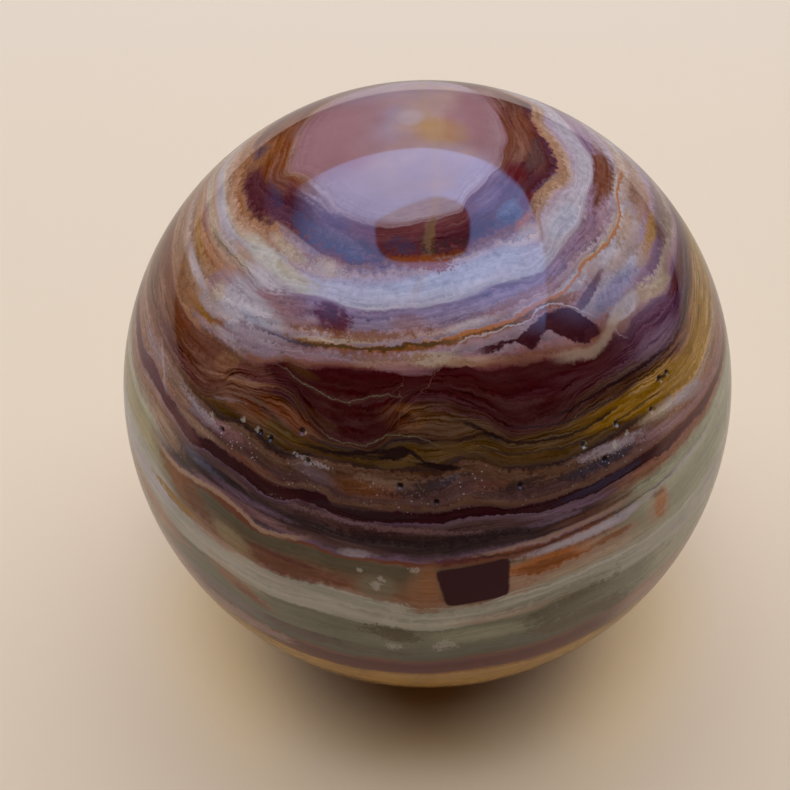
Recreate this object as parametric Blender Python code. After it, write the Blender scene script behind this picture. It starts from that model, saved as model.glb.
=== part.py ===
"""A polished ball of banded onyx that stands on a small flat ground into its underside.

Units are metres and +Z is up, at right angles to the stone's bands. The origin is the centre of the
flat, so the ball stands on the plane z = 0. The ball is one piece of stone, and its bands are only colour.
"""

import math

import bmesh
import bpy
from mathutils import Vector

BALL_DIAMETER = 0.080
FLAT_DIAMETER = 0.014
RIM_EASE = 0.0003

MERIDIANS = 96
PARALLELS = 48
RIM_STEPS = 2

STONE_COLOUR = (0.30, 0.20, 0.15, 1.0)
STONE_ROUGHNESS = 0.10
STONE_METALLIC = 0.0
STONE_IOR = 1.58

BALL_RADIUS = BALL_DIAMETER / 2
FLAT_RADIUS = FLAT_DIAMETER / 2
# The ball's centre stands this far above its flat, a little less than a radius.
CENTRE_HEIGHT = math.sqrt(BALL_RADIUS**2 - FLAT_RADIUS**2)
SAME_HEIGHT = 1e-6


def clear_scene():
    for old in list(bpy.data.objects):
        bpy.data.objects.remove(old, do_unlink=True)


def make_collection(name):
    collection = bpy.data.collections.new(name)
    bpy.context.scene.collection.children.link(collection)
    return collection


def make_stone():
    """Polished calcite onyx in the mean colour of its bands."""
    stone = bpy.data.materials.new("banded_onyx")
    stone.use_nodes = True
    shader = stone.node_tree.nodes["Principled BSDF"]
    shader.inputs["Base Color"].default_value = STONE_COLOUR
    shader.inputs["Roughness"].default_value = STONE_ROUGHNESS
    shader.inputs["Metallic"].default_value = STONE_METALLIC
    shader.inputs["IOR"].default_value = STONE_IOR
    return stone


def grind_flat(mesh):
    """Cuts the bottom of the ball off level, closes it with one flat face and eases the rim."""
    floor_level = -CENTRE_HEIGHT
    shape = bmesh.new()
    shape.from_mesh(mesh)
    everything = shape.verts[:] + shape.edges[:] + shape.faces[:]
    bmesh.ops.bisect_plane(
        shape,
        geom=everything,
        plane_co=Vector((0, 0, floor_level)),
        plane_no=Vector((0, 0, -1)),
        clear_outer=True,
    )
    rim = [edge for edge in shape.edges if edge.is_boundary]
    bmesh.ops.holes_fill(shape, edges=rim)
    rim = [
        edge
        for edge in shape.edges
        if all(abs(corner.co.z - floor_level) < SAME_HEIGHT for corner in edge.verts)
    ]
    bmesh.ops.bevel(
        shape,
        geom=rim,
        offset=RIM_EASE,
        offset_type="OFFSET",
        segments=RIM_STEPS,
        profile=0.5,
        affect="EDGES",
    )
    bmesh.ops.recalc_face_normals(shape, faces=shape.faces)
    shape.to_mesh(mesh)
    shape.free()


def make_ball(collection, stone):
    bpy.ops.mesh.primitive_uv_sphere_add(
        segments=MERIDIANS,
        ring_count=PARALLELS,
        radius=BALL_RADIUS,
        location=(0, 0, CENTRE_HEIGHT),
    )
    ball = bpy.context.active_object
    ball.name = "onyx_sphere"
    ball.data.name = "onyx_sphere"
    grind_flat(ball.data)
    ball.data.materials.append(stone)
    ball.data.shade_smooth()
    ball.data.set_sharp_from_angle(angle=math.radians(20))
    for home in list(ball.users_collection):
        home.objects.unlink(ball)
    collection.objects.link(ball)
    return ball


def main():
    clear_scene()
    collection = make_collection("green_onyx_sphere")
    make_ball(collection, make_stone())


main()
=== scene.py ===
"""A polished ball of banded onyx on a pale table. Lengths are metres and +Z is up."""

import math

import bpy
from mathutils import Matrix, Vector


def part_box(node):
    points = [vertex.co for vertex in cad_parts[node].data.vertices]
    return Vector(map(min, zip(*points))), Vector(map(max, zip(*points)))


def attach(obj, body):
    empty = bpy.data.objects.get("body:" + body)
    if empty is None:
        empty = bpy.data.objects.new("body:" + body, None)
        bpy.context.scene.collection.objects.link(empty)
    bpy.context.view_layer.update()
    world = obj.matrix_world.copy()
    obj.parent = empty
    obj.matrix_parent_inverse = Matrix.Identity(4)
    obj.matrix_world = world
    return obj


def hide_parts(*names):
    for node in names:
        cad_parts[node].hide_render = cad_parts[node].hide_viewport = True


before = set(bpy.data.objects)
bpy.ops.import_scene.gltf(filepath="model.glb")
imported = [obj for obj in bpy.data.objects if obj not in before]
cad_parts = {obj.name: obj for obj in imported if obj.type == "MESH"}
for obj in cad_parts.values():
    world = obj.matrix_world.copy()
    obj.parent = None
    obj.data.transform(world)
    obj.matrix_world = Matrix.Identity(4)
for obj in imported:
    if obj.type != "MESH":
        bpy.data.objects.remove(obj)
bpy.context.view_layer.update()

NODE = "onyx_sphere"
low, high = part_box(NODE)
BALL_RADIUS = (high.x - low.x) / 2
CENTRE = Vector((0, 0, high.z - BALL_RADIUS))

# The photograph's view: the camera looks down at 45 degrees from 3.5 radii away.
CAMERA_ELEVATION = math.radians(45)
CAMERA_DISTANCE = 3.5 * BALL_RADIUS
CLOSEST_SEEN = 0.005
IMAGE_PIXELS = 790
OUTLINE_RADIUS_PIXELS = 304
CENTRE_PIXEL = (427.5, 384.0)
SENSOR_MM = 36

# Each diffuse light is a level disc: its centre's y, its height, its width, its radiance and its colour.
DIFFUSE_LIGHTS = {
    "sky": (2.0, 1.0, 4.47, 1.35, (0.97, 1.005, 1.06)),
    "lamp": (-0.247, 0.95, 0.475, 3.8, (1.04, 0.95, 0.74)),
}
ROOM_COLOUR = (0.030, 0.020, 0.007)

# The table's paper: its colour, its colour far behind the ball, and where the one gives way to the other.
TABLE_SPAN = (-3, 3)
PAPER = (0.83, 0.70, 0.585)
FAR_PAPER = (0.81, 0.70, 0.61)
FAR_FROM = (0.05, 0.25)
# Painted light and shade on the paper, for light from behind that passes through the stone: painted amber
# shade close in front of the ball, and a painted golden glow on its two sides.
PAINTED_AMBER_SHADE = (0.74, 0.59, 0.42)
AMBER_SHADE_REACH = (0.031, 0.040)
PAINTED_GOLDEN_GLOW = (1.0, 0.79, 0.51)
GOLDEN_GLOW_REACH = (0.031, 0.050)
GOLDEN_GLOW_FROM = (0.012, 0.030)
PAINTED_LIGHT_FADE = (-0.015, 0.020)
PAPER_ROUGHNESS = 0.9

# The overhead panel's sides: the direction that each faces, how far out it lies and how soft it is.
PANEL_HEIGHT = 0.9
PANEL_SPAN = ((-1.6, 1.6), (-0.8, 1.2))
PANEL_SIDES = (
    ((0, 1), 0.87, 0.03), ((0.26, 0.966), 0.84, 0.03), ((0.707, 0.707), 0.80, 0.09),
    ((0.963, 0.27), 0.65, 0.03), ((-1, 0), 0.87, 0.34), ((0, -1), 0.46, 0.32),
)
# A dim light that spills past the panel.
SPILL_SIDES = (((-1, 0), -0.55, 0.1), ((1, 0), 1.5, 0.6), ((0, -1), 0.33, 0.25), ((0, 1), 0.25, 0.2))
SPILL_SHARE = 0.35
# The rounded gap in it: its centre, its half sizes and the side that cuts its far left corner off.
GAP_CENTRE = (-0.023, 0.143)
GAP_HALF = (0.222, 0.203)
GAP_CUT = ((-0.44, 0.9), 0.31, 0.03)
GAP_SQUARENESS = 3
GAP_EDGE = (0.85, 1.1)
# The gap's far right edge is brighter than the panel.
GAP_RIM = 0.5
GAP_RIM_RISE = (1.0, 1.15)
GAP_RIM_FALL = (1.15, 1.5)
GAP_RIM_SIDE = ((-0.6, -0.8), -0.16, 0.2)
PANEL_COLOUR = (0.25, 0.45, 1.0)
PANEL_RADIANCE = 3.7
# The panel is this bright in the middle, and this much brighter for each metre to the right.
PANEL_MIDDLE = 0.95
PANEL_SLOPE = 0.35

# The sheet of painted shade over the table, which only the polish mirrors: its height, how dark it is in
# front and behind, and where the one gives way to the other.
CARD_HEIGHT = 0.0003
CARD_COLOUR = (0.02, 0.015, 0.012)
CARD_SHADE = (0.85, 0.4)
CARD_FADE = (-0.085, -0.04)


class Wire:
    """A number that varies over a surface: arithmetic on it adds Math nodes."""

    def __init__(self, maker, socket):
        self.maker = maker
        self.socket = socket

    def math(self, operation, *values):
        return self.maker.math(operation, *values)

    def __add__(self, other):
        return self.math("ADD", self, other)

    def __sub__(self, other):
        return self.math("SUBTRACT", self, other)

    def __rsub__(self, other):
        return self.math("SUBTRACT", other, self)

    def __mul__(self, other):
        return self.math("MULTIPLY", self, other)

    def __truediv__(self, other):
        return self.math("DIVIDE", self, other)

    def __rtruediv__(self, other):
        return self.math("DIVIDE", other, self)

    def __pow__(self, other):
        return self.math("POWER", self, other)

    def __neg__(self):
        return self.math("MULTIPLY", self, -1)

    __radd__ = __add__
    __rmul__ = __mul__


class Nodes:
    """A node tree and short ways to add to it."""

    def __init__(self, tree):
        self.tree = tree

    def join(self, value, socket):
        """Links a wire to a socket, or sets the socket to a plain value."""
        if isinstance(value, Wire):
            self.tree.links.new(value.socket, socket)
        elif socket.type == "RGBA" and len(value) == 3:
            socket.default_value = (*value, 1)
        else:
            socket.default_value = value

    def node(self, kind, settings=None, sockets=None, output=0):
        node = self.tree.nodes.new(kind)
        for name, value in (settings or {}).items():
            setattr(node, name, value)
        for name, value in (sockets or {}).items():
            self.join(value, node.inputs[name])
        return Wire(self, node.outputs[output])

    def math(self, operation, *values):
        return self.node("ShaderNodeMath", {"operation": operation}, dict(enumerate(values)))

    def scaled(self, value, slope, shift):
        """The value times the slope, plus the shift."""
        return self.math("MULTIPLY_ADD", value, slope, shift)

    def map(self, value, start, end, first, last, curve="SMOOTHSTEP"):
        """First at start, last at end, and an even curve or a straight line between them."""
        settings = {"interpolation_type": curve, "clamp": False}
        sockets = {"Value": value, "From Min": start, "From Max": end, "To Min": first, "To Max": last}
        return self.node("ShaderNodeMapRange", settings, sockets)

    def rise(self, value, start, end):
        """0 before start, 1 after end and an even curve between them."""
        return self.map(value, start, end, 0, 1)

    def fall(self, value, start, end, first=1):
        """First before start, 0 after end and an even curve between them."""
        return self.map(value, start, end, first, 0)

    def mix(self, share, first, second):
        """The second colour in place of that share of the first."""
        settings = {"data_type": "RGBA"}
        return self.node("ShaderNodeMix", settings, {0: share, 6: first, 7: second}, output=2)

    def object_axes(self):
        """The three object coordinates, in metres."""
        position = self.node("ShaderNodeTexCoord", output=3)
        return [self.node("ShaderNodeSeparateXYZ", None, {0: position}, output=axis) for axis in range(3)]


class Finish(Nodes):
    """A material made of nodes."""

    def __init__(self, name):
        self.material = bpy.data.materials.new(name)
        self.material.use_nodes = True
        super().__init__(self.material.node_tree)
        self.shader = self.tree.nodes["Principled BSDF"]

    def set(self, **values):
        """Sets or links the shader's sockets, whose names are written with underscores here."""
        for name, value in values.items():
            self.join(value, self.shader.inputs[name.replace("_", " ")])


class Tool(Nodes):
    """A node group: one job that a material does many times."""

    def __init__(self, name, numbers, colours=()):
        super().__init__(bpy.data.node_groups.new(name, "ShaderNodeTree"))
        for names, kind in ((numbers, "NodeSocketFloat"), (colours, "NodeSocketColor")):
            for label in names:
                self.tree.interface.new_socket(label, in_out="INPUT", socket_type=kind)
        entry = self.tree.nodes.new("NodeGroupInput")
        self.given = [Wire(self, entry.outputs[label]) for label in (*numbers, *colours)]

    def give(self, results, kind="NodeSocketFloat"):
        """Hands the results out, by name."""
        for label in results:
            self.tree.interface.new_socket(label, in_out="OUTPUT", socket_type=kind)
        way_out = self.tree.nodes.new("NodeGroupOutput")
        for label, wire in results.items():
            self.join(wire, way_out.inputs[label])

    def use(self, maker, **sockets):
        """Puts the group to work in another tree; its inputs are named with underscores for spaces."""
        sockets = {label.replace("_", " "): value for label, value in sockets.items()}
        return maker.node("ShaderNodeGroup", {"node_tree": self.tree}, sockets)


def add_to_scene(item):
    bpy.context.scene.collection.objects.link(item)
    return item


def photo_camera():
    data = bpy.data.cameras.new("camera")
    camera = add_to_scene(bpy.data.objects.new("camera", data))
    away = Vector((0, -math.cos(CAMERA_ELEVATION), math.sin(CAMERA_ELEVATION)))
    camera.location = CENTRE + away * CAMERA_DISTANCE
    camera.rotation_euler = (math.pi / 2 - CAMERA_ELEVATION, 0, 0)
    half_angle = math.asin(BALL_RADIUS / CAMERA_DISTANCE)
    focal_pixels = OUTLINE_RADIUS_PIXELS / math.tan(half_angle)
    data.sensor_width = SENSOR_MM
    data.lens = focal_pixels / IMAGE_PIXELS * SENSOR_MM
    data.shift_x = 0.5 - CENTRE_PIXEL[0] / IMAGE_PIXELS
    data.shift_y = CENTRE_PIXEL[1] / IMAGE_PIXELS - 0.5
    data.clip_start = CLOSEST_SEEN
    bpy.context.scene.camera = camera


def diffuse_lights():
    """Soft light from above and behind, which the polish doesn't mirror."""
    world = bpy.data.worlds.new("room")
    bpy.context.scene.world = world
    world.use_nodes = True
    world.node_tree.nodes["Background"].inputs["Color"].default_value = (*ROOM_COLOUR, 1)
    for name, (y, height, width, radiance, colour_of_light) in DIFFUSE_LIGHTS.items():
        data = bpy.data.lights.new(name, "AREA")
        data.shape = "DISK"
        data.size = width
        data.energy = radiance * math.pi * math.pi * (width / 2) ** 2
        data.color = colour_of_light
        light = add_to_scene(bpy.data.objects.new(name, data))
        light.location = (0, y, height)
        light.visible_glossy = False


def level_sheet(name, x_range, y_range, height, finish):
    """A level rectangle whose place is in its mesh."""
    centre = (sum(x_range) / 2, sum(y_range) / 2, height)
    bpy.ops.mesh.primitive_plane_add(size=1, location=centre)
    sheet = bpy.context.active_object
    sheet.name = name
    sheet.scale = (x_range[1] - x_range[0], y_range[1] - y_range[0], 1)
    bpy.ops.object.transform_apply(location=True, rotation=False, scale=True)
    sheet.data.materials.append(finish.material)
    return sheet


def paper_table():
    paper = Finish("table_paper")
    x, y, _ = paper.object_axes()
    sheet = paper.mix(paper.rise(y, *FAR_FROM), PAPER, FAR_PAPER)
    out = (x * x + y * y) ** 0.5
    # Painted light and shade: amber shade in front of the ball and a golden glow beside it, fading out
    # behind.
    ahead = paper.fall(y, *PAINTED_LIGHT_FADE)
    sheet = paper.mix(paper.fall(out, *AMBER_SHADE_REACH) * ahead, sheet, PAINTED_AMBER_SHADE)
    painted_glow = paper.rise(paper.math("ABSOLUTE", x), *GOLDEN_GLOW_FROM) * paper.fall(out, *GOLDEN_GLOW_REACH)
    sheet = paper.mix(painted_glow * ahead, sheet, PAINTED_GOLDEN_GLOW)
    paper.set(Base_Color=sheet, Roughness=PAPER_ROUGHNESS, Specular_IOR_Level=0)
    level_sheet("table", TABLE_SPAN, TABLE_SPAN, 0, paper)


def only_in_gloss(thing):
    """Nothing but a glossy reflection shows this thing."""
    for ray in ("camera", "diffuse", "transmission", "volume_scatter", "shadow"):
        setattr(thing, "visible_" + ray, False)


def inside(finish, x, y, sides):
    """1 within all the sides and 0 beyond any of them, with soft edges."""
    cover = 1.0
    for (across, along), reach, softness in sides:
        out = finish.scaled(x, across, y * along)
        cover = finish.fall(out, reach - softness, reach) * cover
    return cover


def overhead_panel():
    """A bluish panel that only the polish mirrors, brighter to the right, with a rounded gap in it."""
    glow = Finish("panel_glow")
    x, y, _ = glow.object_axes()
    wide = glow.math("ABSOLUTE", x - GAP_CENTRE[0]) * (1 / GAP_HALF[0])
    high = glow.math("ABSOLUTE", y - GAP_CENTRE[1]) * (1 / GAP_HALF[1])
    far = wide ** GAP_SQUARENESS + high ** GAP_SQUARENESS
    gap = glow.fall(far, *GAP_EDGE) * inside(glow, x, y, [GAP_CUT])
    rim = glow.rise(far, *GAP_RIM_RISE) * glow.fall(far, *GAP_RIM_FALL, GAP_RIM)
    rim = rim * inside(glow, x, y, [GAP_RIM_SIDE])
    lit = inside(glow, x, y, PANEL_SIDES) * (1 - gap) + rim
    lit = (lit + inside(glow, x, y, SPILL_SIDES) * SPILL_SHARE) * (x * PANEL_SLOPE + PANEL_MIDDLE)
    glow.set(Base_Color=(0, 0, 0), Roughness=1, Specular_IOR_Level=0)
    glow.set(Emission_Color=glow.mix(lit, (0, 0, 0), PANEL_COLOUR), Emission_Strength=PANEL_RADIANCE)
    only_in_gloss(level_sheet("overhead_panel", *PANEL_SPAN, PANEL_HEIGHT, glow))


def shade_card():
    """A dark sheet over the table, which only the polish mirrors: painted shade on the mirrored table,
    darker in front of the picture.
    """
    mirrored_shade = Finish("card_mirrored_shade")
    _, y, _ = mirrored_shade.object_axes()
    shade = mirrored_shade.map(y, *CARD_FADE, *CARD_SHADE)
    mirrored_shade.set(Base_Color=CARD_COLOUR, Roughness=1, Specular_IOR_Level=0, Alpha=shade)
    only_in_gloss(level_sheet("shade_card", TABLE_SPAN, TABLE_SPAN, CARD_HEIGHT, mirrored_shade))


# The stone's own colours.
PALETTE = {
    "tan": (0.47, 0.30, 0.22), "pink": (0.41, 0.27, 0.27), "rose": (0.35, 0.21, 0.25),
    "orchid": (0.34, 0.18, 0.21), "lilac": (0.36, 0.27, 0.35), "pearl": (0.52, 0.46, 0.56),
    "lavender": (0.40, 0.36, 0.47), "ice": (0.45, 0.46, 0.62), "white": (0.62, 0.59, 0.56),
    "cream": (0.51, 0.40, 0.32), "peach": (0.47, 0.31, 0.25), "ochre": (0.37, 0.19, 0.12),
    "mustard": (0.36, 0.19, 0.035), "bronze": (0.14, 0.075, 0.025), "olive": (0.10, 0.052, 0.022),
    "orange": (0.48, 0.17, 0.06), "rust": (0.27, 0.10, 0.04), "russet": (0.20, 0.065, 0.035),
    "maroon": (0.125, 0.035, 0.042), "wine": (0.085, 0.022, 0.032),
    "oxblood": (0.048, 0.009, 0.011), "garnet": (0.034, 0.007, 0.011), "plum": (0.11, 0.045, 0.09),
    "dusk": (0.20, 0.12, 0.20), "violet": (0.26, 0.17, 0.27), "mauve": (0.31, 0.20, 0.27),
    "taupe": (0.12, 0.062, 0.066), "drab": (0.16, 0.082, 0.058), "brown": (0.21, 0.09, 0.065),
    "umber": (0.09, 0.04, 0.025), "slate": (0.035, 0.02, 0.025), "navy": (0.045, 0.045, 0.11),
    "steel": (0.13, 0.13, 0.22), "sage": (0.24, 0.235, 0.185), "celadon": (0.395, 0.39, 0.295),
    "milk": (0.48, 0.46, 0.42), "moss": (0.14, 0.115, 0.08), "crimson": (0.14, 0.012, 0.03),
    "honey": (0.44, 0.25, 0.07), "amber": (0.26, 0.10, 0.025), "chestnut": (0.12, 0.018, 0.02),
    "straw": (0.42, 0.36, 0.22), "periwinkle": (0.27, 0.25, 0.44), "flame": (0.25, 0.05, 0.004),
    "ink": (0.016, 0.006, 0.008),
}

# Each contact between two beds: its depth in front, in degrees down from the top, and its depth at other
# longitudes, read off the photo (0 faces the camera, positive to the right). The back is invented.
CONTACTS = {
    "cap_foot": (20.7, [
        (-180, 24), (-160, 25.2), (-143, 25), (-129, 23.8), (-113, 22.7), (-90, 22.6), (-80, 23.5),
        (-75, 24), (-70, 22.6), (-60, 21.5), (-50, 21.3), (-40, 22.2), (-20, 22.4), (-10, 21.8),
        (0, 20.7), (10, 19.8), (15, 19.4), (20, 17.5), (30, 16), (40, 14.7), (50, 14.2), (60, 13.4),
        (70, 12.6), (80, 12.8), (100, 12.5), (118, 13), (134, 13.8), (146, 15.7), (155, 17.7),
        (162, 19.4), (180, 24)]),
    "dark_ring_foot": (26.9, [
        (-180, 31), (-160, 33.5), (-140, 34.5), (-118, 34), (-104, 32), (-96, 31), (-80, 31.8),
        (-70, 31.7), (-60, 29.9), (-50, 28.8), (-40, 29.3), (-30, 29.6), (-20, 28.7), (-15, 28.2),
        (-12, 27), (-5, 27.2), (0, 26.8), (10, 26), (20, 24.9), (30, 24), (40, 23.3), (50, 21.7),
        (55, 21.1), (70, 21.8), (80, 20.6), (90, 19.7), (109, 18.6), (120, 20.2), (126, 22.2),
        (132, 23.7), (147, 24.5), (165, 28), (180, 31)]),
    "fringe_foot": (28.9, [
        (-180, 33), (-160, 35.5), (-140, 37), (-120, 37.5), (-100, 36.7), (-90, 35), (-70, 34.4),
        (-60, 33.6), (-50, 31.7), (-45, 31), (-40, 32.5), (-30, 32.3), (-20, 31), (-10, 30.1), (0, 28.6),
        (5, 27.8), (15, 27), (25, 26), (30, 27), (38, 27.5), (45, 24.5), (50, 23.6), (60, 23.2),
        (70, 24.8), (80, 23.5), (90, 22.6), (98, 21.6), (107, 21), (117, 22.3), (124, 24.3), (140, 26.5),
        (165, 30), (180, 33)]),
    "white_ring_foot": (34.1, [
        (-180, 37.5), (-150, 40.5), (-120, 41.5), (-100, 41), (-90, 39.5), (-80, 39), (-70, 38.2),
        (-60, 37.4), (-50, 37.4), (-45, 38), (-40, 37.6), (-35, 36.1), (-25, 35.3), (-20, 35.5),
        (-10, 34.8), (0, 34.1), (10, 32.6), (20, 32), (30, 32.8), (35, 31.9), (40, 30.9), (50, 29.9),
        (60, 29.1), (70, 27.7), (80, 27.8), (90, 28), (107, 26.8), (116, 27.7), (126, 29), (150, 33),
        (180, 37.5)]),
    "mauve_foot": (39.4, [
        (-180, 44), (-150, 46), (-120, 45.5), (-80, 46.5), (-70, 47), (-65, 47.5), (-55, 46.6),
        (-45, 44.6), (-40, 43.2), (-30, 42.3), (-20, 41.1), (-10, 40.5), (0, 39.5), (10, 38.4),
        (20, 37.6), (25, 36.7), (35, 36.2), (45, 34.2), (50, 33.9), (70, 33.9), (75, 33.5), (80, 31.9),
        (90, 33), (100, 36), (120, 38), (150, 42.5), (180, 44)]),
    "cream_foot": (43.0, [
        (-180, 49), (-150, 50.5), (-120, 51), (-100, 49.5), (-80, 48.7), (-60, 49.5), (-40, 49),
        (-35, 48), (-30, 46), (-25, 45.7), (-20, 44.5), (-10, 43.8), (0, 43.2), (7, 43), (12, 44.2),
        (20, 44), (25, 44.6), (32, 46.5), (35, 47), (40, 46.1), (43, 45.8), (45, 46.3), (50, 45),
        (58, 45.5), (65, 47), (70, 45.9), (80, 46.2), (90, 47), (120, 48.5), (150, 50.5), (180, 49)]),
    "oxblood_foot": (46.8, [
        (-180, 56), (-150, 57), (-120, 56), (-100, 55.5), (-70, 55.5), (-50, 56), (-45, 55.7), (-42, 54),
        (-40, 51), (-35, 50), (-30, 49), (-27, 48.8), (-24, 50.5), (-21, 52.5), (-18, 54), (-14, 54.6),
        (-10, 54.1), (-8, 52.9), (-6, 50), (-4, 48), (0, 46.8), (4, 46.9), (7, 48), (10, 49), (13, 51),
        (16, 52.8), (20, 53.4), (24, 53.3), (27, 52), (30, 50.4), (40, 50), (60, 50.8), (70, 49.3),
        (80, 48.2), (90, 48), (120, 51.5), (150, 54.5), (180, 56)]),
    "laminated_foot": (52.8, [
        (-180, 58), (-150, 58.5), (-120, 57), (-80, 56), (-50, 56.6), (-45, 56.5), (-40, 54), (-30, 53),
        (-20, 54.7), (-15, 55.2), (-10, 55), (-5, 52.6), (0, 52.7), (5, 53), (10, 52), (15, 54.3),
        (30, 54.8), (40, 54), (50, 55), (60, 55), (70, 53), (80, 51.5), (90, 51), (120, 54.5),
        (150, 57.5), (180, 58)]),
    "mustard_foot": (57.7, [
        (-180, 61), (-150, 62), (-120, 60), (-100, 58), (-70, 57.2), (-60, 57), (-50, 57.5), (-42, 57.7),
        (-40, 58.5), (-35, 57.7), (-25, 59.3), (-20, 57.7), (-10, 57.6), (0, 57.7), (7, 56.1), (9, 56.6),
        (15, 58.9), (22, 59.8), (35, 59.4), (60, 60.3), (70, 59.6), (80, 58.5), (90, 57), (120, 59),
        (150, 62), (180, 61)]),
    "seam_top": (63.9, [
        (-180, 66.5), (-150, 67), (-120, 64.5), (-100, 62.5), (-75, 61), (-68, 61.5), (-62, 60.4),
        (-55, 61.5), (-46, 62.2), (-43, 63.2), (-40, 62.5), (-35, 62.5), (-25, 64), (-20, 62.8),
        (-17, 62.9), (-15, 64.3), (-5, 64), (0, 63.9), (7, 63.4), (10, 63.5), (15, 64.6), (30, 64.4),
        (40, 64.2), (50, 64.7), (60, 65.3), (75, 65.6), (90, 65), (120, 66.5), (150, 68), (180, 66.5)]),
    "seam_foot": (65.7, [
        (-180, 68.5), (-150, 69), (-120, 66.5), (-100, 64.5), (-75, 63), (-68, 63.5), (-60, 63),
        (-50, 64), (-45, 65), (-40, 64.3), (-35, 64.6), (-25, 66), (-20, 64.6), (-12, 66.3), (-8, 65.6),
        (0, 65.7), (8, 64.8), (20, 66.2), (40, 65.7), (45, 66.6), (50, 66.3), (60, 67.1), (75, 67),
        (90, 66.5), (120, 68.5), (150, 70), (180, 68.5)]),
    "lavender_foot": (72.0, [
        (-180, 73), (-150, 74), (-120, 71.5), (-90, 69), (-60, 69), (-52, 70.3), (-45, 71.3), (-40, 69.7),
        (-35, 69.9), (-27, 72.3), (-22, 71.8), (-10, 72.5), (0, 72.2), (8, 71.3), (20, 71.2), (30, 70.6),
        (50, 70), (75, 69), (90, 69.5), (120, 72), (150, 74), (180, 73)]),
    "bright_line_foot": (73.3, [
        (-180, 75), (-150, 76), (-120, 73.5), (-90, 70.8), (-60, 70.5), (-50, 71.5), (-45, 72.2),
        (-40, 71.2), (-27, 73), (-22, 72.4), (0, 73.3), (10, 73), (20, 74.1), (30, 74), (40, 73),
        (50, 72.5), (70, 71.5), (90, 72), (120, 74), (150, 76), (180, 75)]),
    "green_foot": (81.3, [
        (-180, 82.5), (-150, 83), (-120, 81), (-90, 79), (-60, 78), (-50, 78.9), (-40, 79.2), (-25, 79.8),
        (-18, 79), (-10, 80), (0, 81.3), (7, 81.2), (12, 80), (20, 79), (25, 78.8), (40, 80), (60, 79),
        (90, 79.5), (120, 82), (150, 84), (180, 82.5)]),
    "striped_foot": (86.8, [
        (-180, 89), (-150, 89.5), (-120, 87), (-90, 84.5), (-60, 83.5), (-50, 84.8), (-40, 85),
        (-30, 85.4), (-25, 86), (-18, 85.6), (0, 86.9), (7, 85.9), (18, 84.6), (22, 83.6), (30, 84.5),
        (40, 85), (60, 86), (90, 86.5), (120, 89), (150, 90.5), (180, 89)]),
    "grey_green_foot": (96.0, [
        (-180, 97.5), (-150, 98), (-120, 95.5), (-90, 93), (-60, 93), (-40, 94.3), (-25, 96.6), (0, 96.2),
        (10, 95), (15, 95.4), (30, 94.2), (60, 93.5), (90, 94), (120, 97), (150, 99), (180, 97.5)]),
    "pink_brown_foot": (101.6, [
        (-180, 104), (-120, 102), (-90, 99.5), (-50, 99.5), (-20, 102.2), (0, 101.8), (10, 100.8),
        (20, 101.4), (40, 101), (70, 100.5), (90, 101), (120, 104), (150, 105.5), (180, 104)]),
    "honey_foot": (110.5, [
        (-180, 111), (-90, 108.5), (-40, 109.5), (0, 110.5), (40, 110), (90, 109.5), (150, 113),
        (180, 111)]),
}

# The beds' colours by depth, at the front, to the left and to the right, some a little lighter or darker.
UPPER_BEDS = (0, 39.4)
UPPER_FRONT = [
    (0, "tan", 0.9), (3.5, "pink"), (8, "pink", 1.05), (14, "pink", 1.05), (16.5, "lilac", 1.05),
    (19.6, "lilac"), (20.2, "rose", 0.8), (20.65, "rose", 0.8), (20.8, "maroon"), (22, "maroon"),
    (24.5, "wine"), (26.3, "maroon"), (26.8, "russet", 0.9), (27.3, "brown"),
    (27.9, "rose", 0.8), (28.5, "pink", 0.95), (29.1, "lilac", 1.1), (30.2, "lavender", 1.05),
    (32.5, "lavender", 1.1), (33.8, "pearl", 0.85), (34.15, "violet"), (35.2, "violet", 1.1),
    (36.4, "mauve", 0.9), (37.3, "rose", 0.95), (38.2, "pink"), (38.8, "lilac"), (39.1, "ochre"),
    (39.4, "olive"),
]
UPPER_LEFT = [
    (0, "tan", 0.9), (3, "pink", 1.05), (6, "lilac"), (9, "rose"), (14, "orchid"),
    (19, "orchid", 0.9), (20.6, "ochre", 0.75), (20.8, "russet"), (22, "maroon"),
    (24.5, "wine"), (26.3, "maroon"), (26.9, "ochre"), (27.8, "ochre", 1.05), (28.8, "peach"),
    (29.4, "cream"), (30.6, "pearl", 0.85), (32, "peach", 1.05), (33.9, "cream", 0.9),
    (34.4, "peach", 0.95), (35.2, "ochre", 1.15), (36.2, "ochre", 0.95), (37.2, "peach", 0.85),
    (38.2, "peach", 0.9), (38.9, "ochre", 0.9), (39.4, "rust", 1.1),
]
UPPER_RIGHT = [
    (0, "tan", 0.9), (3.5, "pink"), (6, "orchid"), (9, "rose", 0.95), (14, "orchid", 0.95),
    (18, "rose"), (20.4, "orchid", 0.85), (20.65, "orchid", 0.7), (20.8, "russet", 0.85),
    (22, "maroon"), (24.2, "wine", 0.8), (26.2, "wine"), (26.8, "plum"), (27.1, "ochre"),
    (28.6, "peach", 0.95), (29.4, "lilac", 1.2), (31.2, "pearl", 0.9), (33, "pearl"),
    (33.9, "lilac", 1.1), (34.3, "violet", 1.15), (36.2, "violet", 1.2), (37.4, "lilac"),
    (38.2, "lilac", 1.2), (39.1, "cream"), (39.4, "pearl", 0.9),
]
MIDDLE_BEDS = (39.4, 65.7)
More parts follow.
